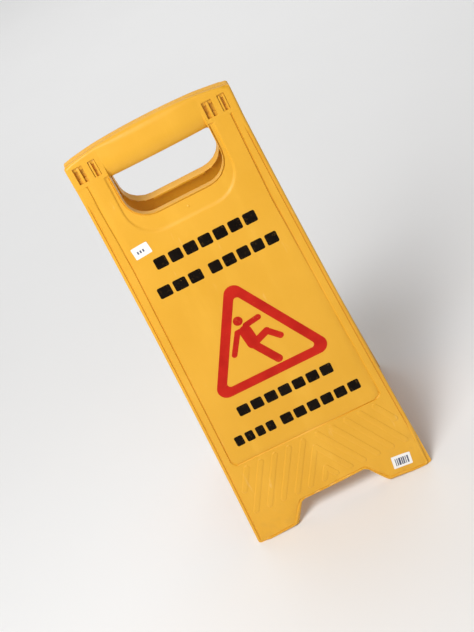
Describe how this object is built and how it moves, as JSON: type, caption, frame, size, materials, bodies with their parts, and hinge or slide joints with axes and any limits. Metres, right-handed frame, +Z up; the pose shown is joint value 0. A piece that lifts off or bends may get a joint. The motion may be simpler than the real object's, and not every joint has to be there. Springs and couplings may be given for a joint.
{
  "type": "folding floor sign",
  "caption": "Folding A-frame floor caution sign: two moulded halves hinged in a carrying grip with a hand opening, notched feet and a printed slip-hazard triangle.",
  "frame": {"origin": "on the floor, midway between the four feet, with the sign standing open", "axes": "+Z up, +X to the right of someone who faces the front half, which faces -Y; the hinge axis lies along X"},
  "size_m": [0.2854, 0.2614, 0.6305],
  "materials": {
    "yellow_plastic": "injection-moulded polypropylene, satin, golden yellow",
    "red_ink": "screen-printed ink, satin",
    "black_ink": "screen-printed ink, satin",
    "sticker_paper": "coated paper label, matt"
  },
  "bodies": {
    "front_half": {"front_panel": "yellow_plastic", "front_print_triangle": "red_ink", "front_print_figure_head": "red_ink", "front_print_figure_body": "red_ink", "front_print_line_1": "black_ink", "front_print_line_2_left": "black_ink", "front_print_line_2_right": "black_ink", "front_print_line_3": "black_ink", "front_print_line_4_left": "black_ink", "front_print_line_4_right": "black_ink", "price_sticker": "sticker_paper", "barcode_sticker": "sticker_paper"},
    "rear_half": {"rear_panel": "yellow_plastic", "rear_print_triangle": "red_ink", "rear_print_figure_head": "red_ink", "rear_print_figure_body": "red_ink", "rear_print_line_1": "black_ink", "rear_print_line_2_left": "black_ink", "rear_print_line_2_right": "black_ink", "rear_print_line_3": "black_ink", "rear_print_line_4_left": "black_ink", "rear_print_line_4_right": "black_ink"}
  },
  "joints": [
    {"name": "fold", "type": "hinge", "parent": "front_half", "child": "rear_half", "pos_m": [0, 0, 0.60201], "axis": [-1, 0, 0], "range_deg": [0, 22]}
  ]
}
